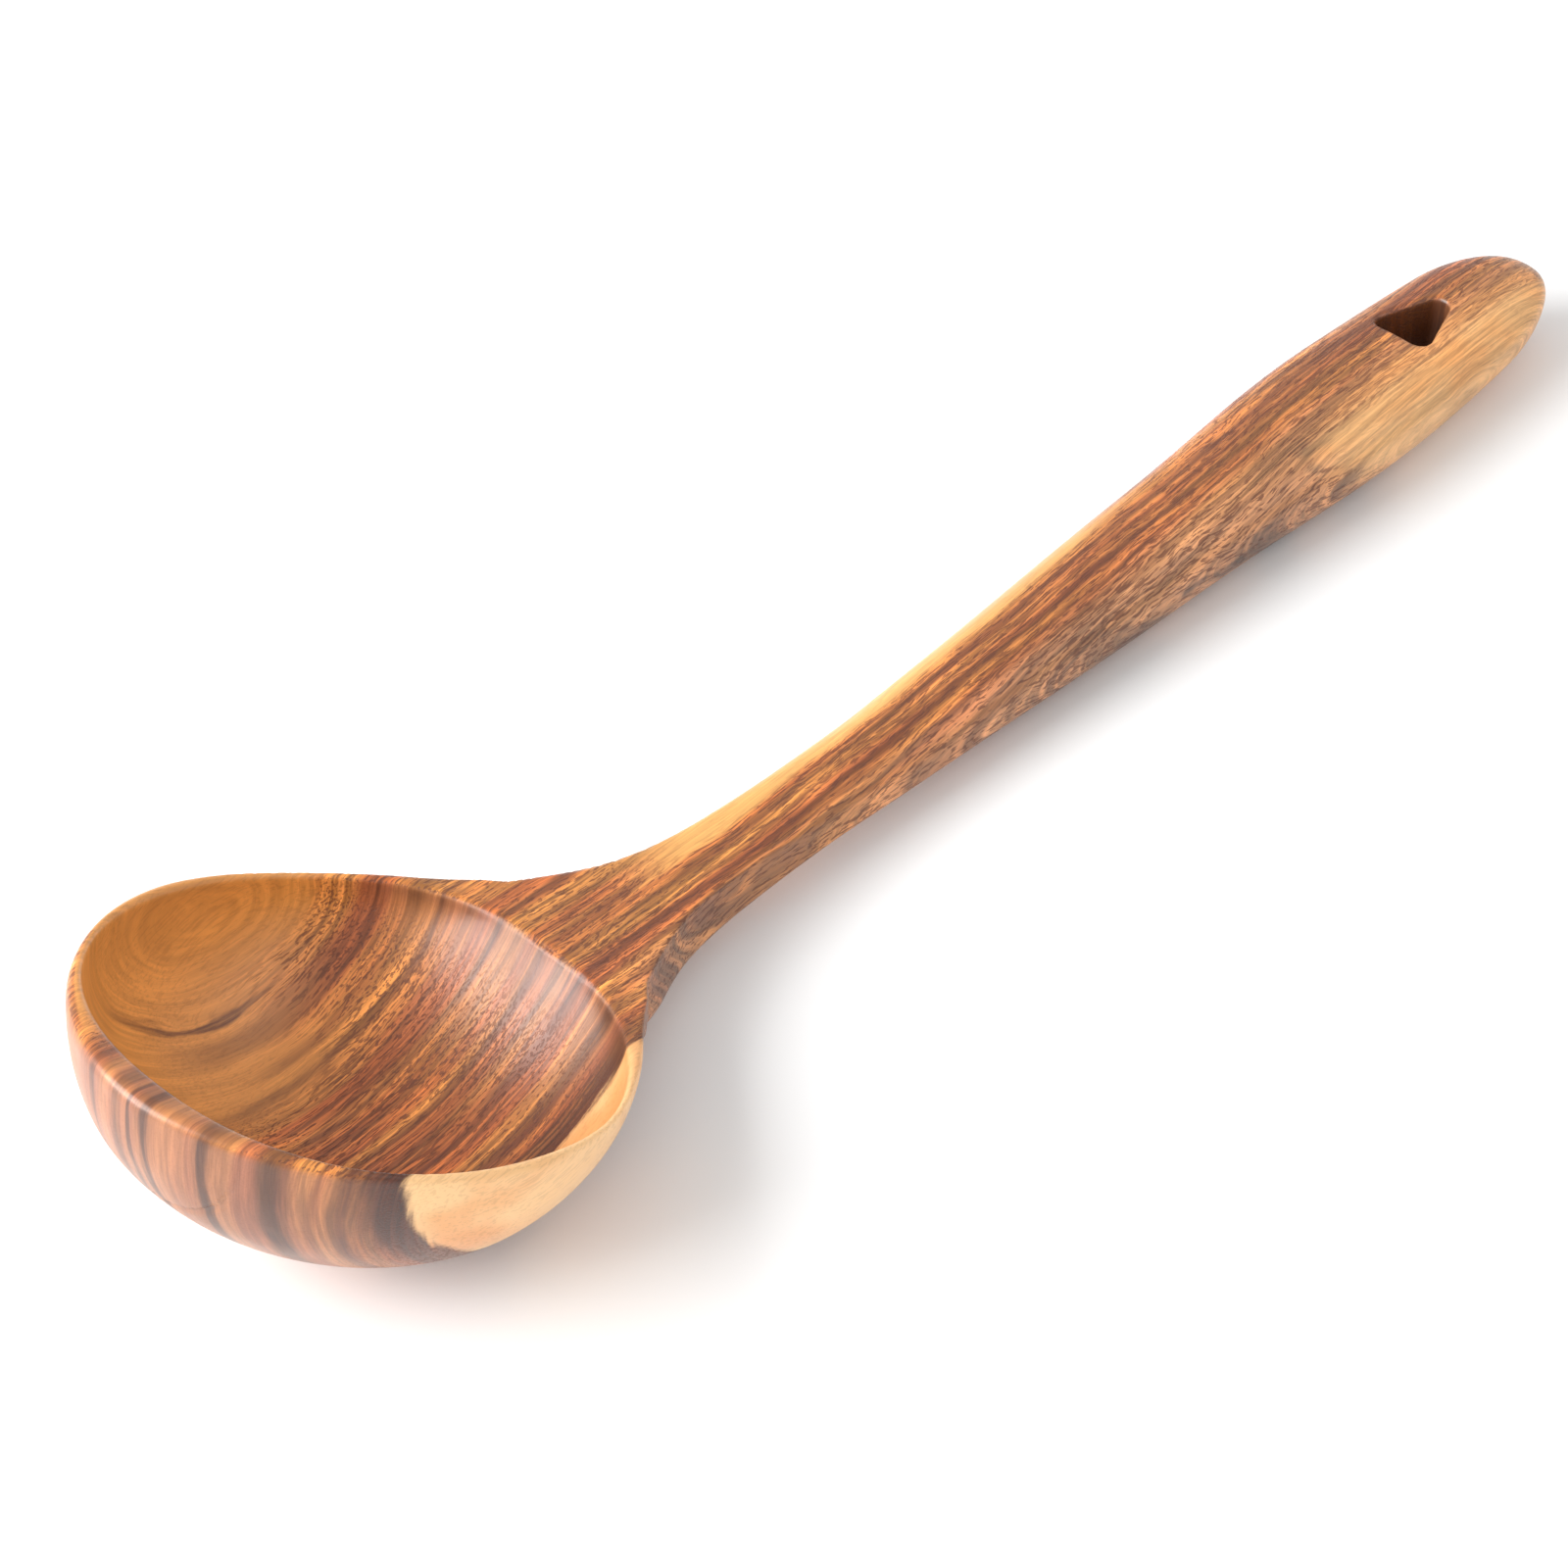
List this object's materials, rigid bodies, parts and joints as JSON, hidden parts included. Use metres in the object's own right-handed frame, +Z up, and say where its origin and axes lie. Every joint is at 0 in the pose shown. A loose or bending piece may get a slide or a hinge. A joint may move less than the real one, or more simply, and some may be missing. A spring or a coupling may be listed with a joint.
{
  "type": "soup ladle",
  "caption": "One-piece carved wooden soup ladle: round hollow bowl, thick neck, long swelling handle with a three-cornered hanging hole near its tip.",
  "frame": {"origin": "on the table under the middle of the ladle's length and width", "axes": "+X along the ladle towards the handle's end, +Z up as it lies on a table, +Y across the bowl"},
  "size_m": [0.3704, 0.092, 0.0571],
  "materials": {
    "wood": "oiled satin hardwood, orange brown with dark streaks and pale sapwood"
  },
  "bodies": {
    "root": {"ladle": "wood"}
  },
  "joints": []
}
